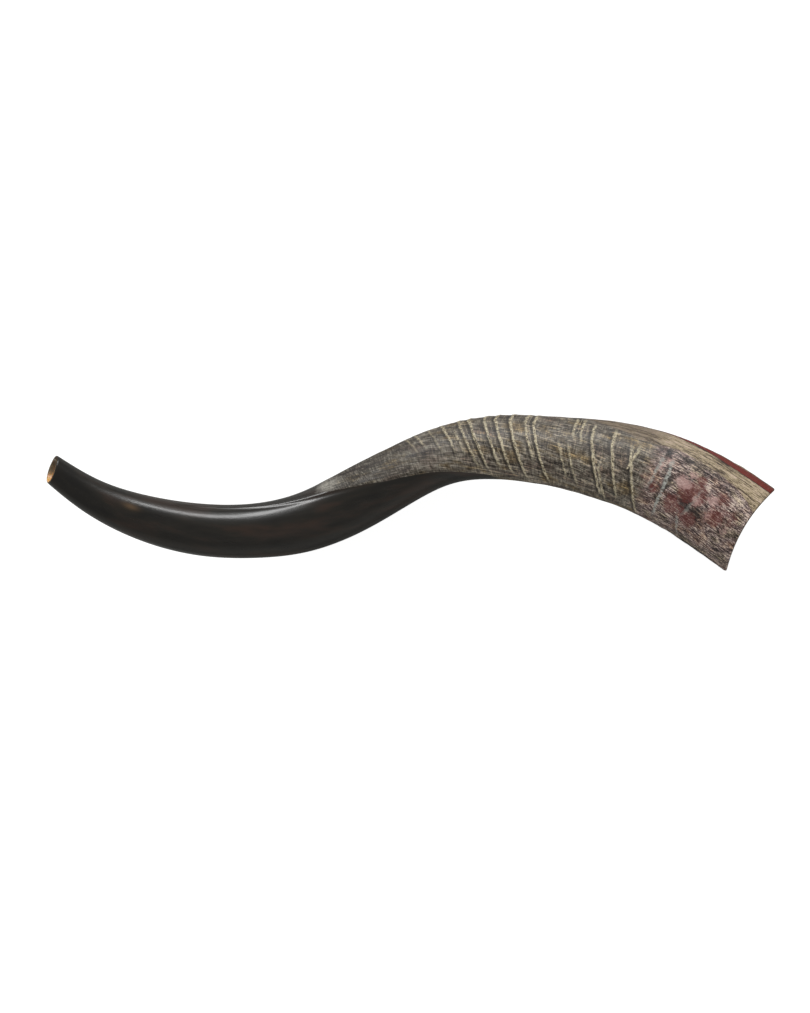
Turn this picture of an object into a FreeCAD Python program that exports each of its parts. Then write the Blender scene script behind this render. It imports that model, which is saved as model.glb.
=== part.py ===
import FreeCAD, Part
import Sketcher
import math
import os
from typing import NamedTuple

from FreeCAD import Placement, Rotation, Vector

# A long twisted shofar: one antelope horn, drilled and cupped at the tip, ground smooth and
# polished over the lower turn, left as it grew from there to the bell.
#
# Frame: the horn lies at rest on z = 0. +X runs from the mouth to the bell, +Z is up, and the
# origin is under the middle of its box. All sizes are millimetres and degrees.


class Slice(NamedTuple):
    """One cross-section of the horn, square to its run.

    A slice is a lens with two keels. It stands at (x, y, z) and faces along heading (in plan)
    and climb (above the level). turn swings the first keel from level left towards the top.
    """

    name: str
    x: float
    y: float
    z: float
    heading: float
    climb: float
    turn: float
    half_width: float    # centre to keel
    half_depth: float    # centre to the middle of a cheek
    keel_radius: float   # how sharp the keel is
    cavity: float        # half width of the natural hollow, 0 where the horn is solid


SLICES = [
    Slice("mouth", -270, 8.5, 129.5, -40, -35, 20, 10.4, 10.0, 6.5, 0),
    Slice("tip", -242.5, -9, 108.5, -26, -31, 31, 13.5, 13.0, 6.0, 0),
    Slice("neck", -208, -21.5, 88, -14, -28, 38, 17.5, 16.5, 5.5, 5.5),
    Slice("low_bend", -165, -27.5, 66, -2, -25.5, 43, 20.5, 19.5, 5.0, 11),
    Slice("belly", -125.5, -25, 48, 9, -23, 50, 22.5, 20.0, 4.5, 16),
    Slice("twist_in", -88, -15.5, 34, 20, -14, 62, 25.5, 22.0, 4.0, 20),
    Slice("twist_low", -53.5, 0.5, 29, 27, -1, 79, 28.0, 24.0, 4.0, 22.5),
    Slice("twist_mid", -18, 18.5, 31.5, 26, 8, 100, 27.5, 23.5, 4.5, 23),
    Slice("twist_out", 18, 32.5, 39, 14, 12, 125, 27.0, 22.5, 5.0, 22.5),
    Slice("shoulder", 58, 36.5, 47.5, -2, 11, 154, 27.0, 23.0, 5.5, 22.5),
    Slice("crest", 101, 31.5, 54, -10, 6, 175, 27.5, 24.0, 6.0, 23.5),
    Slice("high_bend", 147, 21.5, 56, -14, -1, 195, 30.5, 27.5, 6.5, 26.5),
    Slice("flare", 196, 4.5, 51.5, -25, -9, 208, 35.0, 31.5, 6.5, 31),
    Slice("bell", 236.5, -19, 40.5, -34, -15, 214, 38.5, 33.5, 6.5, 34.5),
    Slice("rim", 265.5, -39, 30, -34, -17, 216, 39.0, 33.5, 6.5, 35),
]

SIZES = {
    # the player's end
    "face_x": (-269.0, "centre of the mouth face"),
    "face_y": (5.5, ""),
    "face_z": (126.5, ""),
    "face_heading": (-13.0, "way the mouth face looks into the horn, in plan"),
    "face_climb": (-31.0, "the same, above the level"),
    "drill_heading": (-24.0, "line of the drilled bore, in plan"),
    "drill_climb": (-30.0, "the same, above the level"),
    "drill_radius": (4.5, ""),
    "drill_depth": (82.0, "from the mouth face into the natural hollow"),
    "cup_radius": (8.4, "cup at the lips"),
    "cup_depth": (10.0, "from the lips to the bore"),
    "lining_radius": (9.3, "pale core at the lips"),
    "lining_foot": (6.0, "pale core at the bottom of the cup"),
    # the open end
    "round_x": (403.0, "centre of the round the bell is hollowed to"),
    "round_y": (-118.5, ""),
    "round_radius": (180.0, ""),
    "round_lean": (16.0, "lean of that round from upright"),
    "round_lean_way": (-68.0, "direction it leans to, in plan"),
    # growth rings
    "ring_height": (0.7, "how far a ring stands proud"),
    "ring_width": (1.8, ""),
    "ring_lean": (9.0, "a ring leans from square to the run"),
    "slab_side": (100.0, "side of a block that covers one section"),
    "reach": (400.0, "size of a block that covers the whole horn"),
}

# Growth rings come in clusters, one for each season, so each has its own place along the run,
# measured from the mouth slice.
RING_RUNS = [312, 324, 339, 352, 361, 371, 381, 391, 402, 410, 428, 437, 446, 455, 469, 483]

CAVITY_KEEL_SHARE = 0.35   # the hollow's keels are blunt: their radius over its half width
CUP_OVERSHOOT = 6          # how far the cup's cones run out past the lips


def cheek_radius(half_width: float, half_depth: float, keel_radius: float) -> float:
    """Radius of the cheek arc that runs tangent into both keel arcs."""
    keel_centre = half_width - keel_radius
    return (keel_centre**2 + half_depth**2 - keel_radius**2) / (2 * (half_depth - keel_radius))


document = FreeCAD.newDocument("Shofar")
sheet = document.addObject("Spreadsheet::Sheet", "Sizes")
row_count = 0


def put(alias: str, value: float, note: str = "") -> None:
    """Write one driving size in the sheet and name its cell."""
    global row_count
    row_count += 1
    sheet.set(f"A{row_count}", alias)
    sheet.set(f"B{row_count}", f"{value:g}")
    sheet.setAlias(f"B{row_count}", alias)
    sheet.set(f"C{row_count}", note)


for section in SLICES:
    for field in Slice._fields[1:]:
        put(f"{section.name}_{field}", getattr(section, field))
for size_name, (size_value, size_note) in SIZES.items():
    put(size_name, size_value, size_note)
for ring_number, ring_run in enumerate(RING_RUNS, start=1):
    put(f"ring_{ring_number}_run", ring_run)
document.recompute()


def size(alias: str) -> float:
    """Read a size back from the sheet."""
    return float(sheet.get(alias))


def new_body(name: str) -> "PartDesign.Body":
    """Add an empty body."""
    return document.addObject("PartDesign::Body", name)


def plane_of(body: "PartDesign.Body", role: str) -> "App.Plane":
    """Find one of the body's own origin planes."""
    return next(item for item in body.Origin.OriginFeatures if item.Role == role)


def lens_sketch(body, section: Slice, label: str, width: str, depth: str, keel: str):
    """Draw one lens of four tangent arcs and stand it on the horn's run.

    width, depth and keel are sheet expressions for half width, half depth and keel radius.
    """
    sketch = body.newObject("Sketcher::SketchObject", label)
    sketch.AttachmentSupport = (plane_of(body, "YZ_Plane"), [""])
    sketch.MapMode = "FlatFace"
    name = f"Sizes.{section.name}"
    width, depth, keel = (f"({text})" for text in (width, depth, keel))
    sketch.setExpression(
        "AttachmentOffset",
        f"placement(vector({name}_y; {name}_z; {name}_x); "
        f"rotation(vector(0; 1; 0); {name}_heading) * rotation(vector(1; 0; 0); -{name}_climb)"
        f" * rotation(vector(0; 0; 1); {name}_turn))",
    )

    half_width, half_depth, keel_radius = (
        float(sketch.evalExpression(text)) for text in (width, depth, keel)
    )
    cheek = cheek_radius(half_width, half_depth, keel_radius)
    keel_centre = half_width - keel_radius
    cheek_centre = cheek - half_depth
    lean = math.atan2(cheek_centre, keel_centre)
    up = Vector(0, 0, 1)

    def arc(centre_x, centre_y, radius, start, end):
        circle = Part.Circle(Vector(centre_x, centre_y, 0), up, radius)
        return sketch.addGeometry(Part.ArcOfCircle(circle, start, end))

    keel_one = arc(keel_centre, 0, keel_radius, -lean, lean)
    cheek_one = arc(0, -cheek_centre, cheek, lean, math.pi - lean)
    keel_two = arc(-keel_centre, 0, keel_radius, math.pi - lean, math.pi + lean)
    cheek_two = arc(0, cheek_centre, cheek, math.pi + lean, 2 * math.pi - lean)
    ring = [keel_one, cheek_one, keel_two, cheek_two]
    for here, following in zip(ring, ring[1:] + ring[:1]):
        sketch.addConstraint(Sketcher.Constraint("Tangent", here, 2, following, 1))
    centre_point, on_x_axis, origin = 3, -1, 1
    for keel_arc in (keel_one, keel_two):
        sketch.addConstraint(
            Sketcher.Constraint("PointOnObject", keel_arc, centre_point, on_x_axis)
        )
    formulas = {
        "keel_one_radius": (Sketcher.Constraint("Radius", keel_one, keel_radius), keel),
        "keel_two_radius": (Sketcher.Constraint("Radius", keel_two, keel_radius), keel),
        "keel_one_centre": (
            Sketcher.Constraint("DistanceX", -1, origin, keel_one, centre_point, keel_centre),
            f"{width} - {keel}",
        ),
        "keel_two_centre": (
            Sketcher.Constraint("DistanceX", keel_two, centre_point, -1, origin, keel_centre),
            f"{width} - {keel}",
        ),
        "cheek_one_radius": (Sketcher.Constraint("Radius", cheek_one, cheek), None),
        "cheek_two_radius": (Sketcher.Constraint("Radius", cheek_two, cheek), None),
    }
    cheek_formula = (
        f"(({width} - {keel})^2 + {depth}^2 - {keel}^2) / (2 * ({depth} - {keel}))"
    )
    for constraint_name, (constraint, formula) in formulas.items():
        index = sketch.addConstraint(constraint)
        sketch.renameConstraint(index, constraint_name)
        sketch.setExpression(f"Constraints.{constraint_name}", formula or cheek_formula)
    return sketch


def loft(body, sketches):
    """Skin the sketches into one solid."""
    feature = body.newObject("PartDesign::AdditiveLoft", f"{body.Name}_loft")
    feature.Profile = (sketches[0], [""])
    feature.Sections = [(sketch, [""]) for sketch in sketches[1:]]
    feature.Ruled = False
    body.Tip = feature
    return body


def horn_blank():
    """The horn's outer form, longer than needed at both ends."""
    body = new_body("horn_blank")
    sketches = [
        lens_sketch(
            body, section, f"outer_{section.name}",
            f"Sizes.{section.name}_half_width",
            f"Sizes.{section.name}_half_depth",
            f"Sizes.{section.name}_keel_radius",
        )
        for section in SLICES
    ]
    return loft(body, sketches)


def natural_hollow():
    """The space the bony core left, from its point in the neck out through the bell."""
    body = new_body("natural_hollow")
    sketches = []
    for section in SLICES:
        if section.cavity:
            name = f"Sizes.{section.name}"
            sketches.append(
                lens_sketch(
                    body, section, f"hollow_{section.name}",
                    f"{name}_cavity",
                    f"{name}_cavity * {name}_half_depth / {name}_half_width",
                    f"{name}_cavity * {CAVITY_KEEL_SHARE}",
                )
            )
    return loft(body, sketches)


def ring_envelope():
    """The outer form grown by the height of a growth ring."""
    body = new_body("ring_envelope")
    sketches = [
        lens_sketch(
            body, section, f"ring_{section.name}",
            f"Sizes.{section.name}_half_width + Sizes.ring_height",
            f"Sizes.{section.name}_half_depth + Sizes.ring_height",
            f"Sizes.{section.name}_keel_radius + Sizes.ring_height",
        )
        for section in SLICES
    ]
    return loft(body, sketches)


def boolean(kind: str, name: str, base, tool):
    """Add a Part::Cut or Part::Common of two objects."""
    feature = document.addObject(f"Part::{kind}", name)
    feature.Base = base
    feature.Tool = tool
    return feature


def facing(heading: str, climb: str) -> str:
    """Sheet expression of the turn that points local +Z along a heading and climb."""
    return (
        f"rotation(vector(0; 0; 1); {heading}) * rotation(vector(0; 1; 0); 90 - {climb})"
    )


def block_before(name: str, plane: str, side: str):
    """A cube that ends at a plane across the run, on the mouth's side of it.

    plane is the start of the aliases of the plane's centre, heading and climb. side is the sheet
    expression of the cube's side.
    """
    block = document.addObject("Part::Box", name)
    for edge in ("Length", "Width", "Height"):
        block.setExpression(edge, side)
    block.setExpression(
        "Placement",
        f"placement(vector(Sizes.{plane}_x; Sizes.{plane}_y; Sizes.{plane}_z); "
        + facing(f"Sizes.{plane}_heading", f"Sizes.{plane}_climb")
        + f") * placement(vector(-{side} / 2; -{side} / 2; -{side}); rotation(0; 0; 0))",
    )
    return block


def drilled_bore():
    """The straight hole drilled from the lips into the hollow."""
    drill = document.addObject("Part::Cylinder", "drilled_bore")
    drill.setExpression("Radius", "Sizes.drill_radius")
    drill.setExpression("Height", "Sizes.drill_depth")
    drill.setExpression("Placement", drill_line(0))
    return drill


def drill_line(start: float) -> str:
    """Sheet expression of the bore's own frame, start mm inside the lips."""
    return (
        "placement(vector(Sizes.face_x; Sizes.face_y; Sizes.face_z); "
        + facing("Sizes.drill_heading", "Sizes.drill_climb")
        + f") * placement(vector(0; 0; {start}); rotation(0; 0; 0))"
    )


def cone(name: str, foot: str, lips: str, overshoot: float):
    """A cone on the bore's line, widening from the foot of the cup out past the lips."""
    body = document.addObject("Part::Cone", name)
    growth = f"({lips} - {foot}) / Sizes.cup_depth * {overshoot}"
    body.setExpression("Radius1", f"{lips} + {growth}")
    body.setExpression("Radius2", foot)
    body.setExpression("Height", f"Sizes.cup_depth + {overshoot}")
    body.setExpression("Placement", drill_line(-overshoot))
    return body


def rim_cut():
    """A big leaning cylinder that hollows the bell's edge."""
    cylinder = document.addObject("Part::Cylinder", "rim_cut")
    cylinder.setExpression("Radius", "Sizes.round_radius")
    cylinder.setExpression("Height", "Sizes.reach")
    cylinder.setExpression(
        "Placement",
        "placement(vector(Sizes.round_x; Sizes.round_y; 0); "
        "rotation(vector(0; 0; 1); Sizes.round_lean_way) "
        "* rotation(vector(0; 1; 0); Sizes.round_lean)) "
        "* placement(vector(0; 0; -Sizes.reach / 2); rotation(0; 0; 0))",
    )
    return cylinder


def plan_block(name: str, outline):
    """An upright block over the whole height of the horn, with the given outline in plan.

    The outline is a list of corners. A corner given as a pair of points is the middle and the
    end of an arc from the corner before it.
    """
    body = new_body(name)
    sketch = body.newObject("Sketcher::SketchObject", f"{name}_plan")
    sketch.AttachmentSupport = (plane_of(body, "XY_Plane"), [""])
    sketch.MapMode = "FlatFace"
    first = here = Vector(*outline[0], 0)
    for corner in outline[1:] + [outline[0]]:
        if isinstance(corner[0], tuple):
            middle, end = (Vector(*point, 0) for point in corner)
            sketch.addGeometry(Part.Arc(here, middle, end))
        else:
            end = Vector(*corner, 0)
            sketch.addGeometry(Part.LineSegment(here, end))
        here = end
    pad = body.newObject("PartDesign::Pad", f"{name}_pad")
    pad.Profile = sketch
    pad.setExpression("Length", "Sizes.reach")
    pad.Midplane = True
    body.Tip = pad
    return body


# Plan outlines of the zones. The polish stops on a slant across the top of the twist, then runs
# along under the first keel and off the lower side.
RAW_OUTLINE = [
    (-74, 90), (-56, 5.5), ((6, 15), (64, 9.5)), (86, -60), (86, -150), (330, -150), (330, 90),
]
BELL_OUTLINE = [(170, 90), (184, -90), (184, -150), (330, -150), (330, 90)]
BAND_OUTLINE = [(112, 90), (124, 52), ((205, 20), (262, -34)), (300, -95), (330, 90)]


def growth_rings(envelope, blank):
    """Thin raised rings round the raw part of the horn, one leaning slab of the skin each."""
    run = Part.BSplineCurve()
    run.interpolate([Vector(s.x, s.y, s.z) for s in SLICES])
    skin = boolean("Cut", "ring_skin", envelope, blank)
    slabs = []
    side = size("slab_side")
    for number in range(1, len(RING_RUNS) + 1):
        parameter = run.parameterAtDistance(size(f"ring_{number}_run"))
        centre = run.value(parameter)
        slab = document.addObject("Part::Box", f"ring_slab_{number}")
        slab.setExpression("Length", "Sizes.ring_width")
        slab.setExpression("Width", "Sizes.slab_side")
        slab.setExpression("Height", "Sizes.slab_side")
        square = Rotation(Vector(1, 0, 0), Vector(*run.tangent(parameter)[0]))
        turn = square * Rotation(Vector(0, 0, 1), size("ring_lean"))
        corner = turn.multVec(Vector(-size("ring_width") / 2, -side / 2, -side / 2))
        slab.Placement = Placement(centre + corner, turn)
        slabs.append(slab)
    comb = document.addObject("Part::Compound", "ring_slabs")
    comb.Links = slabs
    return boolean("Common", "growth_rings", skin, comb)


blank = horn_blank()
hollow = natural_hollow()
bore = drilled_bore()
sawn = boolean("Cut", "sawn_blank", blank, block_before("mouth_cut", "face", "Sizes.slab_side"))
trimmed = boolean("Cut", "trimmed_blank", sawn, rim_cut())
shell = boolean("Cut", "open_horn", trimmed, hollow)
drilled = boolean("Cut", "drilled_horn", shell, bore)

lining_blank = cone("lining_blank", "Sizes.lining_foot", "Sizes.lining_radius", CUP_OVERSHOOT)
cup_tool = cone("cup_tool", "Sizes.drill_radius", "Sizes.cup_radius", CUP_OVERSHOOT + 2)
lining_sawn = boolean("Common", "lining_sawn", lining_blank, sawn)
mouth_cup = boolean("Cut", "mouth_cup", lining_sawn, cup_tool)
horn_body = boolean("Cut", "horn_body", drilled, lining_blank)

neck_block = block_before("neck_block", "neck", "Sizes.slab_side * 2")
raw_block = plan_block("raw_block", RAW_OUTLINE)
bell_block = plan_block("bell_block", BELL_OUTLINE)
band_block = plan_block("band_block", BAND_OUTLINE)

black_tip = boolean("Common", "black_tip", horn_body, neck_block)
past_neck = boolean("Cut", "past_neck", horn_body, neck_block)
polished_stem = boolean("Cut", "polished_stem", past_neck, raw_block)
raw_horn = boolean("Common", "raw_horn", past_neck, raw_block)
keel_band = boolean("Common", "keel_band", raw_horn, band_block)
under_band = boolean("Cut", "under_band", raw_horn, band_block)
ridged_wall = boolean("Cut", "ridged_wall", under_band, bell_block)
bell_wall = boolean("Common", "bell_wall", under_band, bell_block)
rings = growth_rings(ring_envelope(), blank)

PARTS = [mouth_cup, black_tip, polished_stem, ridged_wall, bell_wall, keel_band, rings]

document.recompute()

for item in document.Objects:
    if "Invalid" in item.State or "Error" in item.State:
        raise RuntimeError(f"{item.Name} failed: {item.State}")

os.makedirs("parts", exist_ok=True)
for part in PARTS:
    shape = part.Shape
    if shape.isNull() or not shape.isValid() or not shape.Solids:
        raise RuntimeError(f"{part.Label} has no valid solid")
    shape.exportStep(f"parts/{part.Label}.step")
    print(part.Label, "solids", len(shape.Solids), "faces", len(shape.Faces),
          f"volume {shape.Volume / 1000:.1f} cm3")
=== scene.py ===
"""Looks of a shofar: a twisted horn, polished black from the mouth and left raw to the bell.

The wall is made as one unrolled sheet. The sheet is cut along the borders between its pieces,
wrapped round the horn's form and thickened inwards to the hollow, so every piece is a closed
wall that meets its neighbours edge to edge. Lengths are in millimetres until a mesh is stored.
"""

import logging
import math
from dataclasses import dataclass, field
from enum import Enum
from typing import Callable, NamedTuple

import bmesh
import bpy
import numpy as np
from mathutils import Matrix, Vector, noise


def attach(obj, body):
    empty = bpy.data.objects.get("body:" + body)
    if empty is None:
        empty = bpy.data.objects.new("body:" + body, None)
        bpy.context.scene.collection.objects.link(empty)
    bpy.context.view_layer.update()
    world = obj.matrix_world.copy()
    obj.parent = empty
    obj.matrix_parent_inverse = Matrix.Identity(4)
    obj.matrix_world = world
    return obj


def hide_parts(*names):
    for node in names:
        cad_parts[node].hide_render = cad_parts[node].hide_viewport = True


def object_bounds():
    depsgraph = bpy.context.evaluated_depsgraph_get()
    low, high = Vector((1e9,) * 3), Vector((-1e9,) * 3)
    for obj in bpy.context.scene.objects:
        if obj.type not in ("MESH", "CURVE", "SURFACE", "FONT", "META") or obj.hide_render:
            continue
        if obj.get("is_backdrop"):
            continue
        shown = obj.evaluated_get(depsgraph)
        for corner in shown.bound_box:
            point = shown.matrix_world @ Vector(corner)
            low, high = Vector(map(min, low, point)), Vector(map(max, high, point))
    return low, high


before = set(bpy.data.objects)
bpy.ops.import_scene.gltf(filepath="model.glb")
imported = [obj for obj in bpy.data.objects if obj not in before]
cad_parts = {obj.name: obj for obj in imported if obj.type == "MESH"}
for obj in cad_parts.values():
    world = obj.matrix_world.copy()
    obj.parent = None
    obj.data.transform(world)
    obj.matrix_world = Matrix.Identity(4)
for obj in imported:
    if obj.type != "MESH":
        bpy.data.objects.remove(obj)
CAD_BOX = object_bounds()
LOG = logging.getLogger("shofar")
MM = 0.001
HOLLOW_KEEL_SHARE = 0.35
Array = np.ndarray


class Slice(NamedTuple):
    """One lens section of the horn, with its keel-to-keel line turned about the run."""

    x: float
    y: float
    z: float
    heading: float
    climb: float
    turn: float
    half_width: float
    half_depth: float
    keel_radius: float
    cavity: float

    @property
    def skin(self) -> tuple[float, float, float]:
        """Half width, half depth and keel radius of the outer skin."""
        return self.half_width, self.half_depth, self.keel_radius

    @property
    def hollow(self) -> tuple[float, float, float]:
        """The same three of the hollow, whose keels are blunt."""
        depth = self.cavity * self.half_depth / self.half_width
        return self.cavity, depth, self.cavity * HOLLOW_KEEL_SHARE


SLICES = (
    Slice(-270, 8.5, 129.5, -40, -35, 20, 10.4, 10.0, 6.5, 4.6),
    Slice(-242.5, -9, 108.5, -26, -31, 31, 13.5, 13.0, 6.0, 4.6),
    Slice(-208, -21.5, 88, -14, -28, 38, 17.5, 16.5, 5.5, 5.5),
    Slice(-165, -27.5, 66, -2, -25.5, 43, 20.5, 19.5, 5.0, 11),
    Slice(-125.5, -25, 48, 9, -23, 50, 22.5, 20.0, 4.5, 16),
    Slice(-88, -15.5, 34, 20, -14, 62, 25.5, 22.0, 4.0, 20),
    Slice(-53.5, 0.5, 29, 27, -1, 79, 28.0, 24.0, 4.0, 22.5),
    Slice(-18, 18.5, 31.5, 26, 8, 100, 27.5, 23.5, 4.5, 23),
    Slice(18, 32.5, 39, 14, 12, 125, 27.0, 22.5, 5.0, 22.5),
    Slice(58, 36.5, 47.5, -2, 11, 154, 27.0, 23.0, 5.5, 22.5),
    Slice(101, 31.3, 54, -10, 6, 175, 27.5, 23.5, 6.0, 23.5),
    Slice(147, 21.5, 56, -14, -1, 195, 30.5, 27.5, 6.5, 26.5),
    Slice(196, 4.5, 51.5, -25, -9, 208, 35.0, 31.5, 6.5, 31),
    Slice(236.5, -18.5, 41.2, -34, -15, 214, 37.8, 33.5, 6.5, 34),
    Slice(265.5, -38.3, 31.5, -34, -17, 216, 38.0, 33.5, 6.5, 34.2),
)


def heading_vector(heading: float, climb: float) -> Array:
    """The unit vector at a heading and climb in degrees."""
    turn, rise = math.radians(heading), math.radians(climb)
    flat = math.cos(rise)
    return np.array([flat * math.cos(turn), flat * math.sin(turn), math.sin(rise)])


def ease(low: float, high: float, value: Array) -> Array:
    """A smooth step from 0 at low to 1 at high, or the other way if low is the larger."""
    share = np.clip((np.asarray(value, float) - low) / (high - low), 0.0, 1.0)
    return share * share * (3.0 - 2.0 * share)


class HornForm:
    """The horn's outer skin and its hollow as smooth functions of run and turn.

    The run is the distance along the horn from its first slice. The turn is the share of the
    way round a section: 0 at keel one, 0.5 at keel two, cheek one in between.
    """

    def __init__(self, slices: tuple[Slice, ...]) -> None:
        """Place every slice and solve the spline through them.

        Args:
            slices: the sections in order from the mouth.
        """
        self.slices = slices
        self.centres = np.array([item[:3] for item in slices])
        steps = np.linalg.norm(np.diff(self.centres, axis=0), axis=1)
        self.runs = np.concatenate(([0.0], np.cumsum(steps)))
        self.axes = [self._axes(item) for item in slices]
        self.unit = np.eye(len(slices))
        self.bend = self._bend(steps)

    def _axes(self, item: Slice) -> tuple[Array, Array]:
        """The keel and cheek directions of one slice."""
        along = heading_vector(item.heading, item.climb)
        turn = math.radians(item.heading)
        left = np.array([-math.sin(turn), math.cos(turn), 0.0])
        up = np.cross(along, left)
        twist = math.radians(item.turn)
        keel = math.cos(twist) * left + math.sin(twist) * up
        cheek = -math.sin(twist) * left + math.cos(twist) * up
        return keel, cheek

    def _bend(self, steps: Array) -> Array:
        """Second derivatives of the natural cubic spline through each unit ordinate."""
        count = len(self.slices)
        left, right = np.eye(count), np.zeros((count, count))
        for row in range(1, count - 1):
            before, after = steps[row - 1], steps[row]
            left[row, row - 1 : row + 2] = before / 6, (before + after) / 3, after / 6
            right[row] = (self.unit[row + 1] - self.unit[row]) / after
            right[row] -= (self.unit[row] - self.unit[row - 1]) / before
        return np.linalg.solve(left, right)

    def weights(self, run: Array) -> Array:
        """How much each slice counts at each run."""
        low = np.clip(np.searchsorted(self.runs, run) - 1, 0, len(self.runs) - 2)
        span = self.runs[low + 1] - self.runs[low]
        after = ((run - self.runs[low]) / span)[:, None]
        before = 1.0 - after
        curve = (before**3 - before) * self.bend[low] + (after**3 - after) * self.bend[low + 1]
        return before * self.unit[low] + after * self.unit[low + 1] + curve * (span**2 / 6)[:, None]

    @staticmethod
    def lens(turn: Array, width: float, depth: float, keel: float) -> tuple[Array, Array, float]:
        """Points of a lens section of four tangent arcs.

        Args:
            turn: shares of the way round.
            width: half the keel-to-keel width.
            depth: half the depth through the cheeks.
            keel: radius of the keels.

        Returns:
            The keelwise and cheekwise offsets of the points, and the length all the way round.
        """
        turn = np.mod(turn, 1.0)
        side = np.where(turn < 0.5, 1.0, -1.0)
        inner = width - keel
        cheek = (inner**2 + depth**2 - keel**2) / (2 * (depth - keel))
        drop = cheek - depth
        lean = math.atan2(drop, inner)
        nose = lean * keel
        half = 2 * nose + (math.pi - 2 * lean) * cheek
        way = np.where(turn < 0.5, turn, 1.0 - turn) * 2 * half
        near, far = way < nose, way > half - nose
        angle = lean + (way - nose) / cheek
        start, end = way / keel, (half - way) / keel
        x = np.where(near, inner + keel * np.cos(start), cheek * np.cos(angle))
        x = np.where(far, -inner - keel * np.cos(end), x)
        y = np.where(near, keel * np.sin(start), cheek * np.sin(angle) - drop)
        y = np.where(far, keel * np.sin(end), y)
        return x, y * side, 2 * half

    def _surface(self, run: Array, turn: Array, sizes: list[tuple]) -> Array:
        """Points on the surface that one lens per slice gives."""
        weight = self.weights(run)
        points = np.zeros((len(run), 3))
        for index, (size, (keel, cheek)) in enumerate(zip(sizes, self.axes)):
            x, y, _ = self.lens(turn, *size)
            ring = self.centres[index] + x[:, None] * keel + y[:, None] * cheek
            points += weight[:, index : index + 1] * ring
        return points

    def outer(self, run: Array, turn: Array) -> Array:
        """Points on the outer skin."""
        return self._surface(run, turn, [item.skin for item in self.slices])

    def hollow(self, run: Array, turn: Array) -> Array:
        """Points on the hollow's skin."""
        return self._surface(run, turn, [item.hollow for item in self.slices])

    def normal(self, run: Array, turn: Array) -> Array:
        """Outward unit normals of the outer skin."""
        reach, swing = 1.0, 0.004
        along = self.outer(run + reach, turn) - self.outer(run - reach, turn)
        around = self.outer(run, turn + swing) - self.outer(run, turn - swing)
        normal = np.cross(around, along)
        return normal / np.linalg.norm(normal, axis=1)[:, None]

    def girth(self, run: Array) -> Array:
        """Length round the outer skin."""
        rounds = [self.lens(np.zeros(1), *item.skin)[2] for item in self.slices]
        return self.weights(run) @ np.array(rounds)


def crumble(points: Array, size: float, seed: float = 0.0, octaves: int = 2) -> Array:
    """Smooth noise of about -1 to 1 whose lumps are size millimetres across."""
    shift = Vector((seed, seed * 0.37, seed * 0.73))
    return np.array(
        [noise.fractal(Vector(point) / size + shift, 1.0, 2.0, octaves) for point in points]
    )


def ridge_drift(turn: Array) -> Array:
    """How far a growth ring runs ahead of its crown at each turn."""
    turn = np.mod(turn - 0.4, 1.0) + 0.4
    return np.interp(turn, (0.4, 0.68, 0.76, 1.0, 1.4), (0.0, 0.0, 4.0, 19.0, 0.0))


def around(turn: Array, centre: float) -> Array:
    """Signed turns from centre, the short way round."""
    return np.mod(turn - centre + 0.5, 1.0) - 0.5


@dataclass(frozen=True)
class Ridge:
    """A growth ring or scar: its run at the crown, the turns it spans and how plain it is."""

    run: float
    start: float
    end: float
    strength: float
    slant: float = 1.0
    straight_below = 0.5
    straight_slope = 40

    @property
    def middle(self) -> float:
        """The turn halfway along it."""
        return (self.start + self.end) / 2

    @property
    def reach(self) -> float:
        """Half the turns that it spans."""
        return (self.end - self.start) / 2

    def line(self, turn: Array) -> Array:
        """The run that it passes at each turn."""
        if self.slant < self.straight_below:
            return self.run + self.slant * self.straight_slope * around(turn, self.middle)
        return self.run + self.slant * ridge_drift(turn)


RIDGES = (
    Ridge(309, 0.74, 0.90, 0.25),
    Ridge(317, 0.72, 0.87, 0.40),
    Ridge(328, 0.72, 0.90, 0.25),
    Ridge(339, 0.62, 0.89, 0.60),
    Ridge(346, 0.76, 0.91, 0.30),
    Ridge(352, 0.58, 0.95, 0.75),
    Ridge(360, 0.56, 0.96, 0.95),
    Ridge(371.5, 0.54, 0.93, 0.80),
    Ridge(380, 0.54, 0.95, 0.90),
    Ridge(391, 0.52, 0.96, 1.00),
    Ridge(402.5, 0.54, 0.86, 0.65),
    Ridge(409, 0.54, 0.95, 0.95),
    Ridge(427, 0.74, 0.89, 0.45),
    Ridge(434, 0.74, 0.91, 0.45),
    Ridge(439, 0.56, 0.69, 0.55),
    Ridge(444.5, 0.56, 0.70, 0.60),
    Ridge(453, 0.60, 0.91, 0.95),
    Ridge(456, 0.77, 0.94, 0.60),
    Ridge(468, 0.60, 0.88, 0.80),
    Ridge(482, 0.66, 0.94, 0.85, 1.2),
    Ridge(485, 0.64, 0.75, 0.65, -1.0),
)
SCARS = (
    Ridge(503, 0.64, 0.77, 0.70, -0.6),
    Ridge(512, 0.64, 0.87, 1.00, 0.2),
    Ridge(520, 0.80, 0.90, 0.60, 1.6),
    Ridge(536, 0.68, 0.80, 0.35, -0.8),
)


@dataclass(frozen=True)
class Patch:
    """A blot on the bell: where its middle is and how far it reaches each way."""

    run: float
    turn: float
    length: float
    width: float
    strength: float = 1.0


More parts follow.
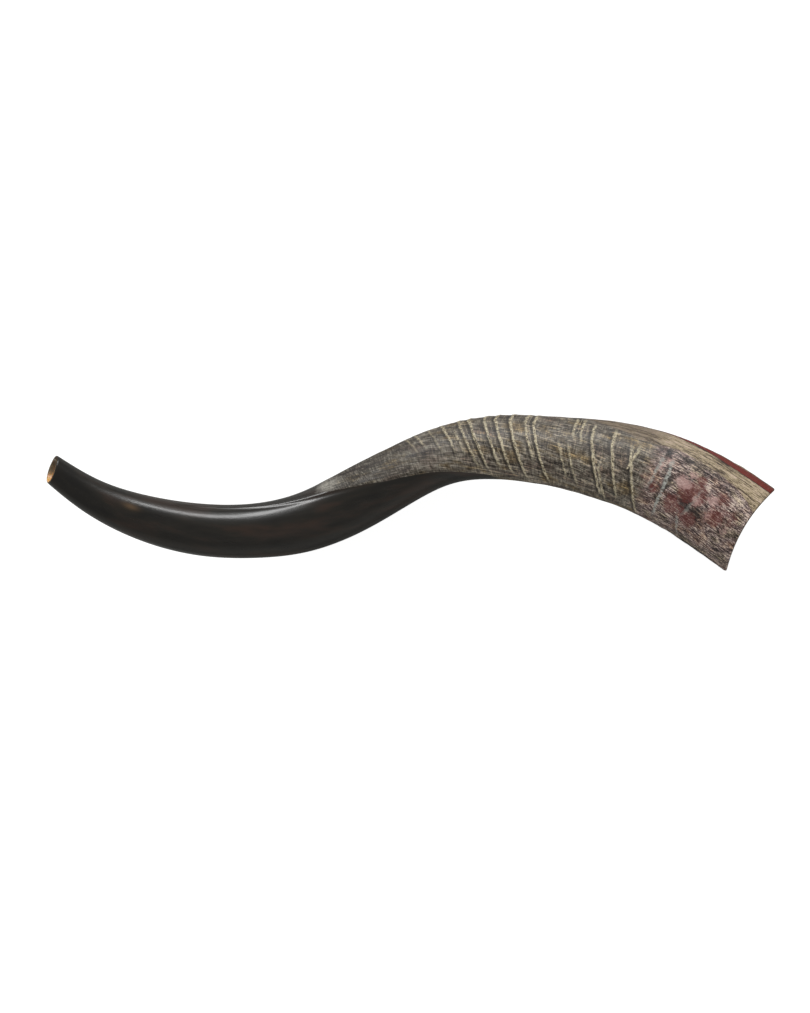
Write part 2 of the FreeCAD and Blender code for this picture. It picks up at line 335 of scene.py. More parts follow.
RED_PATCHES = (
    Patch(493, 0.740, 6, 7, 0.9),
    Patch(505, 0.765, 5, 6, 0.7),
    Patch(523, 0.785, 7, 9, 1.0),
    Patch(531, 0.790, 6, 8, 0.7),
    Patch(530, 0.715, 9, 9, 0.9),
    Patch(536, 0.700, 9, 10, 1.0),
    Patch(535, 0.652, 5, 6, 0.8),
    Patch(540, 0.800, 8, 9, 0.8),
    Patch(554, 0.662, 9, 8, 0.6),
    Patch(556, 0.725, 9, 11, 0.8),
    Patch(566, 0.700, 10, 14, 0.5),
    Patch(505, 0.15, 16, 30, 0.4),
    Patch(545, 0.25, 18, 30, 0.5),
)
PALE_PATCHES = (
    Patch(524, 0.690, 8, 7, 1.0),
    Patch(528, 0.648, 6, 5, 0.8),
    Patch(538, 0.720, 6, 6, 0.8),
    Patch(548, 0.684, 7, 6, 0.9),
    Patch(551, 0.735, 4, 12, 0.7),
    Patch(505, 0.680, 5, 6, 0.7),
    Patch(509, 0.640, 6, 7, 0.7),
    Patch(567, 0.745, 9, 14, 0.6),
    Patch(530, 0.20, 10, 25, 0.5),
)
DARK_PATCHES = (
    Patch(507, 0.622, 3, 7, 1.0),
    Patch(532, 0.748, 6, 8, 1.0),
    Patch(542, 0.756, 7, 8, 0.9),
    Patch(513, 0.720, 4, 9, 0.9),
    Patch(503, 0.765, 4, 8, 0.6),
    Patch(545, 0.605, 18, 3, 0.6),
    Patch(520, 0.605, 10, 3, 0.7),
    Patch(497, 0.83, 12, 9, 0.5),
    Patch(560, 0.93, 30, 7, 0.7),
)


class Wave(NamedTuple):
    """A rise or dip along a ridge: its height, how far before it and its width."""

    height: float
    before: float
    width: float

    def across(self, distance: Array) -> Array:
        """Its height at each distance from the ridge."""
        return self.height * np.exp(-(((distance + self.before) / self.width) ** 2))


class SkinMap:
    """What the skin carries at each run and turn: raw growth, rings, scars and stains."""

    keel_border = ((436, 0.515), (452, 0.560), (487, 0.612), (512, 0.585), (545, 0.588),
                   (562, 0.604), (582, 0.645), (612, 0.662))
    keel_back = ((436, 0.485), (470, 0.440), (520, 0.425), (612, 0.420))
    end_fade = 0.03
    hold = 3.0
    fibre_stretch = (1.0, 1.0, 6.0)
    waves = (
        (RIDGES, (Wave(0.42, 0.0, 1.9), Wave(-0.22, 3.4, 1.7))),
        (SCARS, (Wave(0.30, 0.0, 2.2), Wave(-0.30, 4.0, 2.0))),
    )

    def __init__(self, form: HornForm) -> None:
        """Keep the form, whose girth turns shares of a turn into millimetres."""
        self.form = form

    def raw(self, run: Array, turn: Array) -> Array:
        """1 where the horn was left as it grew, 0 where it was scraped and polished."""
        upper = around(turn, 0.75)
        lower_keel = np.interp(run, (230, 290, 350, 376, 400), (0.246, 0.266, 0.256, 0.25, 0.27))
        cheek = ease(0.012, -0.006, upper - lower_keel) * ease(-0.265, -0.245, upper)
        start = ease(212, 262, run + 60 * (upper - 0.16))
        below = ease(366, 400, run)
        return np.clip(cheek * start + below * (1 - cheek), 0, 1)

    def ridges(self, run: Array, turn: Array, items: tuple[Ridge, ...]) -> tuple[Array, Array]:
        """Distance to the nearest ridge and how plain that ridge is.

        Args:
            run: runs of the points.
            turn: turns of the points.
            items: the ridges to look among.

        Returns:
            Signed distances in millimetres and strengths from 0 to 1.
        """
        best = np.full(len(run), 30.0)
        plain = np.zeros(len(run))
        score = np.full(len(run), -1.0)
        for item in items:
            away = np.abs(around(turn, item.middle)) - item.reach
            strength = item.strength * ease(self.end_fade, -self.end_fade, away)
            distance = run - item.line(turn)
            rank = strength * np.exp(-np.abs(distance) / self.hold)
            better = rank > score
            best = np.where(better, distance, best)
            plain = np.where(better, strength, plain)
            score = np.where(better, rank, score)
        return best, plain

    def blots(self, run: Array, turn: Array, items: tuple[Patch, ...]) -> Array:
        """How strongly any of the patches colours each point."""
        girth = self.form.girth(run)
        total = np.zeros(len(run))
        for item in items:
            ahead = (run - item.run) / item.length
            aside = around(turn, item.turn) * girth / item.width
            total = np.maximum(total, item.strength * np.exp(-(ahead**2 + aside**2)))
        return total

    def keel_span(self, run: Array) -> tuple[Array, Array]:
        """The turns where the pale keel band starts and ends."""
        return np.interp(run, *zip(*self.keel_back)), np.interp(run, *zip(*self.keel_border))

    def keel(self, run: Array, turn: Array) -> Array:
        """1 on the pale keel band, with a soft border."""
        start, end = self.keel_span(run)
        aside = around(turn, 0.5)
        inside = np.minimum(aside - (start - 0.5), (end - 0.5) - aside)
        return ease(-0.010, 0.012, inside) * ease(434, 452, run)

    def red_edge(self, run: Array, turn: Array) -> Array:
        """1 on the red-brown stripe along the top keel of the bell."""
        middle = np.interp(run, (480, 513, 545, 585), (0.482, 0.496, 0.508, 0.505))
        reach = np.interp(run, (480, 500, 545, 585), (0.000, 0.008, 0.016, 0.019))
        return ease(0.008, -0.004, np.abs(around(turn, middle)) - reach)

    def relief(self, run: Array, turn: Array, grain: Array) -> Array:
        """How far the skin stands out of the smooth form, in millimetres."""
        raw = self.raw(run, turn)
        rise = np.zeros(len(run))
        for items, waves in self.waves:
            distance, plain = self.ridges(run, turn, items)
            for wave in waves:
                rise += raw * plain * wave.across(distance)
        stretched = grain / np.array(self.fibre_stretch)
        fibres = crumble(stretched, 3.2, 3.0)
        lumps = crumble(grain, 17.0, 11.0)
        rise += raw * (0.10 * fibres + 0.28 * lumps - 0.05)
        bell = ease(490, 520, run)
        rise += raw * bell * 0.16 * crumble(grain, 5.0, 23.0)
        rise -= 0.25 * self.blots(run, turn, DARK_PATCHES) * raw
        edge = np.abs(around(turn, 0.0)) * self.form.girth(run)
        crest = ease(95, 130, run) * ease(330, 240, run)
        for wave in (Wave(0.45, 0.0, 0.9), Wave(-0.35, -2.6, 1.3)):
            rise += crest * wave.across(edge)
        rise += (1 - raw) * 0.05 * crumble(stretched, 9.0, 5.0)
        return rise


class Zone(Enum):
    """The pieces that the wall is parted into."""

    TIP = 1
    STEM = 2
    RIDGED = 3
    BELL = 4
    KEEL = 5


class MouthCut:
    """The saw cut across the tip, the lip cup behind it and the drilled bore."""

    face = np.array((-269.0, 5.5, 126.5))
    face_normal = heading_vector(-13, -31)
    drill = heading_vector(-24, -30)
    bore_radius = 4.5
    cup_depth = 10.0
    lips_radius = 8.4
    lining_radius = 9.3
    lining_foot = 6.0
    seat_way = 9.2
    step_way = 9.9
    bore_way = 10.4

    def __init__(self) -> None:
        """Square two directions to the drill's line."""
        side = np.cross(self.drill, (0.0, 0.0, 1.0))
        self.side = side / np.linalg.norm(side)
        self.rise = np.cross(self.side, self.drill)

    def inside(self, points: Array) -> Array:
        """How far each point is behind the sawn face."""
        return (points - self.face) @ self.face_normal

    def around_drill(self, radius: Array, depth: Array, angle: Array) -> Array:
        """Points at a radius, depth and angle about the drill's line."""
        ring = np.cos(angle)[:, None] * self.side + np.sin(angle)[:, None] * self.rise
        return self.face + depth[:, None] * self.drill + radius[:, None] * ring

    def bored(self, way: Array, outer: Array) -> Array:
        """The tip's inner skin: the seat of the lining, its step and the bore.

        Args:
            way: distances along the sheet.
            outer: the outer skin's points, which give each point's angle.

        Returns:
            Points about the drill's line.
        """
        offset = outer - self.face
        angle = np.arctan2(offset @ self.rise, offset @ self.side)
        growth = (self.lining_radius - self.lining_foot) / self.cup_depth
        slope = np.cos(angle)[:, None] * self.side + np.sin(angle)[:, None] * self.rise
        tilt = self.drill @ self.face_normal
        spread = slope @ self.face_normal
        lip = -spread * self.lining_radius / (tilt - growth * spread)
        seat = np.clip(way / self.seat_way, 0.0, 1.0)
        depth = lip + seat * (self.cup_depth - lip)
        depth = np.where(way > self.bore_way, way, depth)
        seat_radius = self.lining_radius - growth * depth
        radius = np.where(way > self.step_way, self.bore_radius, seat_radius)
        return self.around_drill(radius, depth, angle)


class RimCut:
    """The leaning drum that the bell's edge is sawn round."""

    centre = np.array((358.2, -89.8, 0.0))
    axis = heading_vector(-94, 76)
    radius = 126.0

    def outside(self, points: Array) -> Array:
        """How far each point is outside the drum."""
        offset = points - self.centre
        flat = offset - (offset @ self.axis)[:, None] * self.axis
        return np.linalg.norm(flat, axis=1) - self.radius


class Sheet:
    """The unrolled wall: x is the turn times nominal_girth, y is the way along the sheet."""

    nominal_girth = 160.0
    seam = 0.25
    columns = 124
    row_step = 0.8
    length = 588.0
    neck = 80.8
    raw_start = 238.0
    raw_start_below = 382.0
    bell_start = 492.0
    keel_one = 1.008
    keel_two = 0.492
    mouth_rows = (0.12, 0.3, 0.55)
    rim_rows = (0.18, 0.48, 0.96, 1.56)
    lip_radius = 1.3
    mouth_search = (-3.0, 20.0)
    rim_search = (520.0, 606.0)
    samples = 241
    halvings = 30
    weld = 0.01
    snap = 0.02

    def __init__(self, form: HornForm, skin: SkinMap) -> None:
        """Solve where the saw cuts end the sheet.

        Args:
            form: the horn's form.
            skin: what the skin carries.
        """
        self.form, self.skin = form, skin
        self.turns = np.linspace(0.0, 1.0, self.samples)
        self.mouth = MouthCut()
        self.rim = RimCut()
        self.start = self._meet(form.outer, self.mouth.inside, self.mouth_search)
        self.end = self._meet(form.outer, self.rim.outside, self.rim_search)
        self.hollow_end = self._meet(form.hollow, self.rim.outside, self.rim_search)

    def _meet(self, surface: Callable, side: Callable, search: tuple) -> Array:
        """Runs at which a surface crosses a cut, one for each of the sample turns."""
        lows, highs = (np.full(len(self.turns), run) for run in search)
        sign = np.sign(side(surface(highs, self.turns)))
        for _ in range(self.halvings):
            middle = (lows + highs) / 2
            past = np.sign(side(surface(middle, self.turns))) == sign
            highs = np.where(past, middle, highs)
            lows = np.where(past, lows, middle)
        return (lows + highs) / 2

    def true_run(self, way: Array, turn: Array, hollow: bool = False) -> Array:
        """The horn's run for a distance along the sheet, stretched to the saw cuts."""
        turn = np.mod(turn, 1.0)
        start = np.interp(turn, self.turns, self.start)
        end = np.interp(turn, self.turns, self.hollow_end if hollow else self.end)
        run = np.where(way < self.neck, start + way * (self.neck - start) / self.neck, way)
        share = (way - self.bell_start) / (self.length - self.bell_start)
        tail = self.bell_start + share * (end - self.bell_start)
        return np.where(way > self.bell_start, tail, run)

    def grain(self, run: Array, turn: Array) -> Array:
        """Coordinates in millimetres that run with the fibres and close round the horn."""
        radius = self.form.girth(run) / (2 * math.pi)
        angle = 2 * math.pi * turn
        return np.stack((radius * np.cos(angle), radius * np.sin(angle), run), axis=1)

    def cut(self, bm: bmesh.types.BMesh, points: tuple) -> None:
        """Cut the sheet along a polyline of (way, turn) points."""
        for (way, turn), (next_way, next_turn) in zip(points, points[1:]):
            faces = [
                face for face in bm.faces
                if way < face.calc_center_median().y < next_way
            ]
            geometry = set(faces)
            for face in faces:
                geometry.update(face.edges)
                geometry.update(face.verts)
            run = Vector(((next_turn - turn) * self.nominal_girth, next_way - way, 0.0))
            bmesh.ops.bisect_plane(
                bm, geom=list(geometry), dist=self.snap,
                plane_co=(turn * self.nominal_girth, way, 0.0),
                plane_no=(run.y, -run.x, 0.0),
            )

    def cross_cut(self, bm: bmesh.types.BMesh, way: float) -> None:
        """Cut the sheet straight across."""
        bmesh.ops.bisect_plane(
            bm, geom=bm.verts[:] + bm.edges[:] + bm.faces[:], dist=self.snap,
            plane_co=(0.0, way, 0.0), plane_no=(0.0, 1.0, 0.0),
        )

    def unrolled(self) -> bmesh.types.BMesh:
        """The flat sheet with every border cut into it and each face marked with its zone."""
        bm = bmesh.new()
        rows = round(self.length / self.row_step)
        bmesh.ops.create_grid(bm, x_segments=self.columns, y_segments=rows, size=0.5)
        half = max(vert.co.x for vert in bm.verts)
        bmesh.ops.scale(
            bm, verts=bm.verts,
            vec=(self.nominal_girth / (2 * half), self.length / (2 * half), 1.0),
        )
        shift = ((self.seam + 0.5) * self.nominal_girth, self.length / 2, 0.0)
        bmesh.ops.translate(bm, verts=bm.verts, vec=shift)
        crossings = [self.neck, self.raw_start, self.raw_start_below, self.bell_start]
        crossings += [way for way, _ in self.skin.keel_border[:-1]]
        crossings += [way for way, _ in self.skin.keel_back[1:-1]]
        crossings += self.mouth_rows
        crossings += [self.length - way for way in self.rim_rows]
        for way in crossings:
            self.cross_cut(bm, way)
        for turn in (self.keel_one, self.keel_two):
            self.cut(bm, ((self.raw_start, turn), (self.raw_start_below, turn)))
        self.cut(bm, self.skin.keel_border)
        self.cut(bm, self.skin.keel_back)
        zone = bm.faces.layers.int.new("zone")
        for face in bm.faces:
            middle = face.calc_center_median()
            face[zone] = self.zone_at(middle.y, middle.x / self.nominal_girth).value
            face.smooth = True
        return bm

    def zone_at(self, way: float, turn: float) -> Zone:
        """The piece of the wall that a place on the sheet belongs to."""
        if way < self.neck:
            return Zone.TIP
        if way > self.skin.keel_border[0][0]:
            start, end = self.skin.keel_span(way)
            if start < turn < end:
                return Zone.KEEL
        if way > self.bell_start:
            return Zone.BELL
        raw_cheek = self.keel_two < turn < self.keel_one and way > self.raw_start
        return Zone.RIDGED if raw_cheek or way > self.raw_start_below else Zone.STEM

    def wrap(self, bm: bmesh.types.BMesh) -> None:
        """Bend the sheet round the horn, raise its relief and close its seam."""
        along = bm.verts.layers.float.new("along")
        turned = bm.verts.layers.float.new("turned")
        sheet_way = bm.verts.layers.float.new("sheet_way")
        flat = np.array([vert.co[:] for vert in bm.verts])
        turn, way = flat[:, 0] / self.nominal_girth, flat[:, 1]
        run = self.true_run(way, turn)
        points = self.outer_points(way, run, turn)
        for index, vert in enumerate(bm.verts):
            vert.co = points[index]
            vert[along], vert[turned], vert[sheet_way] = run[index], turn[index], way[index]
        sides = (self.seam * self.nominal_girth, (self.seam + 1) * self.nominal_girth)
        seam = [
            vert for vert, x in zip(bm.verts, flat[:, 0])
            if min(abs(x - side) for side in sides) < self.weld
        ]
        bmesh.ops.remove_doubles(bm, verts=seam, dist=self.weld)

    def rounding(self, way: Array, radius: float) -> Array:
        """How far the skin drops where it rolls over into a sawn end."""
        drop = np.zeros(len(way))
        for gap, size in ((way, radius * 0.5), (self.length - way, radius)):
            near = np.clip(size - gap, 0.0, size)
            drop = np.maximum(drop, size - np.sqrt(size * size - near * near))
        return drop

    def outer_points(self, way: Array, run: Array, turn: Array) -> Array:
        """Points of the finished outer skin."""
        relief = self.skin.relief(run, turn, self.grain(run, turn))
        fade = ease(0.0, 3.0, way) * ease(0.0, 2.0, self.length - way)
        rise = relief * (0.25 + 0.75 * fade) - self.rounding(way, self.lip_radius)
        return self.form.outer(run, turn) + self.form.normal(run, turn) * rise[:, None]

    def inner_points(self, way: Array, turn: Array) -> Array:
        """Points of the finished inner skin: the drilled bore, then the hollow."""
        run = self.true_run(way, turn, hollow=True)
        normal = self.form.normal(run, turn)
        rough = 0.22 * crumble(self.grain(run, turn) / np.array((1.0, 1.0, 3.0)), 6.0, 41.0)
        rough *= ease(self.neck, self.neck + 30, run)
        drop = self.rounding(np.maximum(way, self.mouth.cup_depth), self.lip_radius)
        hollow = self.form.hollow(run, turn) + normal * (rough + drop)[:, None]
        bored = self.mouth.bored(way, self.form.outer(self.true_run(way, turn), turn))
        blend = ease(self.neck - 6, self.neck, way)[:, None]
        return np.where((way < self.neck)[:, None], bored * (1 - blend) + hollow * blend, hollow)


def store(bm: bmesh.types.BMesh, name: str, materials: list[bpy.types.Material]) -> bpy.types.Object:
    """Turn a bmesh in millimetres into an object in metres that rides on the horn's body.

    Args:
        bm: the finished mesh, which is freed.
        name: the piece's name.
        materials: its material slots in order.

    Returns:
        The new object, standing at the origin.
    """
    bmesh.ops.recalc_face_normals(bm, faces=bm.faces)
    if bm.calc_volume(signed=True) < 0:
        bmesh.ops.reverse_faces(bm, faces=bm.faces)
    bmesh.ops.scale(bm, verts=bm.verts, vec=(MM, MM, MM))
    mesh = bpy.data.meshes.new(name)
    bm.to_mesh(mesh)
    bm.free()
    for material in materials:
        mesh.materials.append(material)
    piece = bpy.data.objects.new(name, mesh)
    bpy.context.scene.collection.objects.link(piece)
    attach(piece, "root")
    LOG.info("%s: %d faces", name, len(mesh.polygons))
    return piece


def put_attribute(mesh: bpy.types.Mesh, name: str, values: Array) -> None:
    """Store one number or one vector for each point of a mesh."""
    vector = values.ndim == 2
    kind = "FLOAT_VECTOR" if vector else "FLOAT"
    layer = mesh.attributes.new(name, kind, "POINT")
    layer.data.foreach_set("vector" if vector else "value", values.astype(np.float32).ravel())


def run_and_turn(mesh: bpy.types.Mesh) -> list[Array]:
    """The run and the turn stored for each point of a mesh."""
    found = []
    for name in ("along", "turned"):
        values = np.empty(len(mesh.vertices), np.float32)
        mesh.attributes[name].data.foreach_get("value", values)
        found.append(values.astype(float))
    return found


def hex_colour(text: str) -> tuple[float, float, float, float]:
    """An sRGB hex colour as the linear numbers that a shader takes."""
    parts = [int(text[start : start + 2], 16) / 255 for start in (1, 3, 5)]
    linear = [part / 12.92 if part <= 0.04045 else ((part + 0.055) / 1.055) ** 2.4 for part in parts]
    return (*linear, 1.0)


Socket = bpy.types.NodeSocket


class MaterialTree:
    """A material while its nodes are added."""

    horn_ior = 1.54

    def __init__(self, name: str) -> None:
        """Start an empty material."""
        self.material = bpy.data.materials.new(name)
        self.material.use_nodes = True
        self.tree = self.material.node_tree
        self.tree.nodes.clear()

    def add(self, kind: str, inputs: dict | tuple = (), **settings: object) -> Socket:
        """Add a node with its settings and links.

        Args:
            kind: the node's type without its ShaderNode prefix.
            inputs: values, hex colours or sockets, by name or number or all in order.
            settings: the node's own properties; "ramp" gives a colour ramp's stops.

        Returns:
            The node's first output in use, or None for the material's output.
        """
        node = self.tree.nodes.new(f"ShaderNode{kind}")
        for key, value in settings.items():
            if key == "ramp":
                stops = node.color_ramp.elements
                while len(stops) < len(value):
                    stops.new(0.5)
                for stop, (place, colour) in zip(stops, value):
                    stop.position, stop.color = place, hex_colour(colour)
            else:
                setattr(node, key, value)
        for key, value in inputs.items() if isinstance(inputs, dict) else enumerate(inputs):
            if isinstance(key, int):
                socket = node.inputs[key]
            else:
                socket = next(item for item in node.inputs if item.name == key and item.enabled)
            if isinstance(value, Socket):
                self.tree.links.new(value, socket)
            else:
                socket.default_value = hex_colour(value) if isinstance(value, str) else value
        return next((item for item in node.outputs if item.enabled), None)

    def read(self, name: str, output: str = "Fac") -> Socket:
        """A number or a vector stored on the mesh."""
        return self.add("Attribute", attribute_name=name).node.outputs[output]

    def close(self, inputs: dict, height: Socket | None = None) -> bpy.types.Material:
        """End the material with its shader.

        Args:
            inputs: the shader's values and sockets by name.
            height: the skin's fine relief in millimetres, if it has any.

        Returns:
            The finished material.
        """
        inputs = {"IOR": self.horn_ior} | inputs
        if height is not None:
            bump = {"Strength": 1.0, "Distance": MM, "Height": height}
            inputs["Normal"] = self.add("Bump", bump)
        self.add("OutputMaterial", {"Surface": self.add("BsdfPrincipled", inputs)})
        return self.material


class Surface(NamedTuple):
    """The sockets of one coat: colour, roughness and height in millimetres."""

    colour: Socket
    rough: Socket
    height: Socket


class Coat(Enum):
    """The coats that horn skin is built up from, each shown by its own mask."""

    RAW = "raw"
    SCARRED = "bell"
    KEEL = "keel"


@dataclass(frozen=True)
class PolishedHorn:
    """Horn scraped and buffed to a satin black: near black, with brown where it is thin."""

    black: str = "#12100d"
    brown: str = "#2b2019"
    cast: str = "#1c1914"
    buffing: str = "#3a3833"
    tan: str = "#5a4630"
    wax: float = 0.25


@dataclass(frozen=True)
class RawHorn:
    """Horn as it grew: grey-brown fibres lengthwise, cream rings, chalky where it weathered."""

    dark: str = "#2a231d"
    middle: str = "#776c5e"
    light: str = "#cfc6b4"
    violet: str = "#5f5655"
    blue: str = "#85888a"
    olive: str = "#756848"
    chalk: str = "#b5b1a6"
    ring: str = "#cfc4a6"
    # Painted shade: the dark colour laid in the groove just before each growth ring, where shade
    # falls.
    gap: str = "#1c1713"
    young: str = "#2a2219"
    wax: float = 0.05


@dataclass(frozen=True)
class ScarredHorn:
    """The oldest horn by the skull: knocked, stained red by blood vessels, chalky scars."""

    dark: str = "#2a2220"
    middle: str = "#806f68"
    light: str = "#e0d6cb"
    violet: str = "#85787f"
    olive: str = "#615b3c"
    rust: str = "#8c6448"
    red: str = "#6e332c"
    pink: str = "#b9968f"
    scar: str = "#a9aaa2"
    black: str = "#1f1c1b"


@dataclass(frozen=True)
class KeelHorn:
    """The keel's pale horn: cream and straw streaks lengthwise, with a red-brown edge."""

    cream: str = "#baa98c"
    straw: str = "#8a7a60"
    pink: str = "#c9b1a2"
    shade: str = "#3f3229"
    red: str = "#6f2519"
    line: str = "#241512"


class SkinMaterial(MaterialTree):
    """A horn skin's material, built up from its coats."""

    polished = PolishedHorn()
    raw_horn = RawHorn()
    scarred_horn = ScarredHorn()
    keel_horn = KeelHorn()

    def __init__(self, name: str, coats: tuple[Coat, ...]) -> None:
        """Start the material.

        Args:
            name: the finish's plain name.
            coats: the coats over the polished horn, from the lowest.
        """
        super().__init__(name)
        self.coats = coats
        self.grain = self.read("grain", "Vector")

    def streaks(self, width: float, length: float, detail: float, offset: float) -> Socket:
        """Fibre noise whose streaks have a width and length in millimetres."""
        scale = (1 / width, 1 / width, 1 / length)
        shift = (offset, offset, offset)
        place = self.add("VectorMath", (self.grain, scale, shift), operation="MULTIPLY_ADD")
        texture = {"Vector": place, "Scale": 1.0, "Detail": detail, "Roughness": 0.6}
        return self.add("TexNoise", texture)

    def layered(self, *layers: tuple[float, float, float, float, float]) -> Socket:
        """Fibre noises laid over each other about a middle value of 0.5.

        Args:
            layers: width and length in millimetres, detail, offset and weight of each noise.

        Returns:
            The sum of the noises.
        """
        total = 0.5 - sum(layer[-1] for layer in layers) / 2
        for *streak, weight in layers:
            fibres = self.streaks(*streak)
            total = self.add("Math", (fibres, weight, total), operation="MULTIPLY_ADD")
        return total

    def stained(self, tone: Socket, *stains: tuple[Socket, str]) -> Socket:
        """Lay colours over a tone by their masks, from the lowest."""
        for mask, colour in stains:
            tone = self.add("Mix", {0: mask, 6: tone, 7: colour}, data_type="RGBA")
        return tone

    def washed(self, tone: Socket, drift: Socket, share: float, stops: list) -> Socket:
        """Tint a tone with colours that drift into each other."""
        wash = {0: share, 6: tone, 7: self.add("ValToRGB", {"Fac": drift}, ramp=stops)}
        return self.add("Mix", wash, data_type="RGBA", blend_type="OVERLAY")

    def soft_line(self, kind: str, place: Socket, shift: float, fade: tuple) -> Socket:
        """A line along the ridges or scars, as strong as they are plain.

        Args:
            kind: "ridge" or "scar".
            place: distance from the nearest one, in millimetres.
            shift: how far the line is moved back from it.
            fade: the distances where the line ends and is whole, and its strength there.

        Returns:
            The line as a mask.
        """
        moved = self.add("Math", (place, shift), operation="ADD")
        away = self.add("Math", (moved,), operation="ABSOLUTE")
        line = self.add("MapRange", (away, *fade), interpolation_type="SMOOTHSTEP")
        return self.add("Math", (line, self.read(f"{kind}_strength")), operation="MULTIPLY")

    def ring_line(self, kind: str, half: float) -> Socket:
        """A worn, wandering line along the ridges or scars, as wide as two halves."""
        wander = (self.streaks(4.0, 5.0, 4.0, 13.0), 4.4, self.read(f"{kind}_distance"))
        place = self.add("Math", wander, operation="MULTIPLY_ADD")
        line = self.soft_line(kind, place, -2.2, (half * 1.7, half * 0.5, 0.0, 1.0))
        wear = self.add("MapRange", (self.streaks(1.1, 2.2, 3.0, 17.0), 0.36, 0.58, 0.05, 1.0))
        return self.add("Math", (line, wear), operation="MULTIPLY")

    def polished_coat(self) -> Surface:
        """Satin black horn with faint brown depths and buffing marks."""
        finish = self.polished
        depth = self.streaks(14.0, 60.0, 3.0, 2.0)
        stops = [(0.35, finish.black), (0.5, finish.cast), (0.64, finish.brown)]
        tone = self.add("ValToRGB", {"Fac": depth}, ramp=stops)
        marks = self.add("MapRange", (self.streaks(0.5, 9.0, 3.0, 7.0), 0.55, 0.8, 0.0, 0.22))
        scuff = self.add("Math", (self.read("scuff"), marks), operation="MULTIPLY", use_clamp=True)
        scuff = self.add("Math", (scuff, 3.0), operation="MULTIPLY", use_clamp=True)
        tone = self.stained(tone, (scuff, finish.buffing), (self.read("tan"), finish.tan))
        rough = self.add("MapRange", (self.streaks(3.0, 30.0, 4.0, 9.0), 0.3, 0.7, 0.27, 0.36))
        rough = self.add("Math", (scuff, 0.25, rough), operation="MULTIPLY_ADD")
        height = self.add("Math", (marks, 0.02), operation="MULTIPLY")
        return Surface(tone, rough, height)

    def raw_coat(self) -> Surface:
        """Grey-brown fibres with cream growth rings and painted shade in the grooves before them."""
        finish = self.raw_horn
        mixed = self.layered(
            (3.2, 30.0, 4.0, 21.0, 0.7), (0.9, 16.0, 4.0, 25.0, 1.1),
            (0.5, 5.0, 3.0, 29.0, 1.0), (6.0, 1.2, 3.0, 37.0, 0.8),
        )
        stops = [(0.24, finish.dark), (0.48, finish.middle), (0.78, finish.light)]
        tone = self.add("ValToRGB", {"Fac": mixed}, ramp=stops)
        ribs = self.add("MapRange", (self.streaks(5.0, 1.3, 3.0, 39.0), 0.44, 0.6, 0.9, 0.35))
        young = self.add("Math", (self.read("young"), ribs), operation="MULTIPLY")
        tone = self.stained(tone, (young, finish.young))
        washes = [(0.36, finish.violet), (0.5, finish.blue), (0.62, finish.olive)]
        tone = self.washed(tone, self.streaks(12.0, 26.0, 3.0, 33.0), 0.8, washes)
        chalk = self.add("Math", (self.read("chalk"), mixed), operation="MULTIPLY", use_clamp=True)
        chalk = self.add("MapRange", (chalk, 0.1, 0.6, 0.0, 0.85))
        # The gap line is painted shade: a dark band in the dip just before each ring's crest.
        gap = self.soft_line("ridge", self.read("ridge_distance"), 2.2, (2.2, 0.3, 0.0, 0.7))
        ring = self.ring_line("ridge", 0.85)
        tone = self.stained(tone, (chalk, finish.chalk), (gap, finish.gap), (ring, finish.ring))
        rough = self.add("MapRange", (mixed, 0.3, 0.7, 0.44, 0.66))
        rough = self.add("Math", (young, 0.2, rough), operation="MULTIPLY_ADD")
        height = self.add("Math", (mixed, 0.28), operation="MULTIPLY")
        height = self.add("Math", (ring, 0.12, height), operation="MULTIPLY_ADD")
        return Surface(tone, rough, height)

    def scarred_coat(self) -> Surface:
        """Knocked and stained horn: grey-violet, with red stains and chalky scars."""
        finish = self.scarred_horn
        mixed = self.layered(
            (0.6, 1.5, 4.0, 41.0, 1.3), (1.0, 4.5, 4.0, 43.0, 1.3),
            (0.9, 14.0, 4.0, 47.0, 1.1), (6.0, 9.0, 3.0, 45.0, 0.7),
        )
        stops = [(0.24, finish.dark), (0.5, finish.middle), (0.78, finish.light)]
        tone = self.add("ValToRGB", {"Fac": mixed}, ramp=stops)
        washes = [(0.36, finish.olive), (0.5, finish.violet), (0.64, finish.rust)]
        tone = self.washed(tone, self.streaks(11.0, 20.0, 2.0, 49.0), 0.6, washes)
        stains = (
            ("dark_stain", finish.black, 0.18, 0.8),
            ("red_stain", finish.red, 0.16, 0.55),
            ("pale_stain", finish.pink, 0.24, 0.66),
        )
        for index, (name, colour, low, most) in enumerate(stains):
            ragged = self.streaks(1.6, 3.0, 5.0, 51.0 + 6 * index)
            mask = self.add("Math", (self.read(name), ragged), operation="MULTIPLY")
            mask = self.add("MapRange", (mask, low, low + 0.14, 0.0, most))
            tone = self.stained(tone, (mask, colour))
        tone = self.stained(tone, (self.ring_line("scar", 1.1), finish.scar))
        rough = self.add("MapRange", (mixed, 0.3, 0.7, 0.42, 0.62))
        height = self.add("Math", (mixed, 0.4), operation="MULTIPLY")
        return Surface(tone, rough, height)

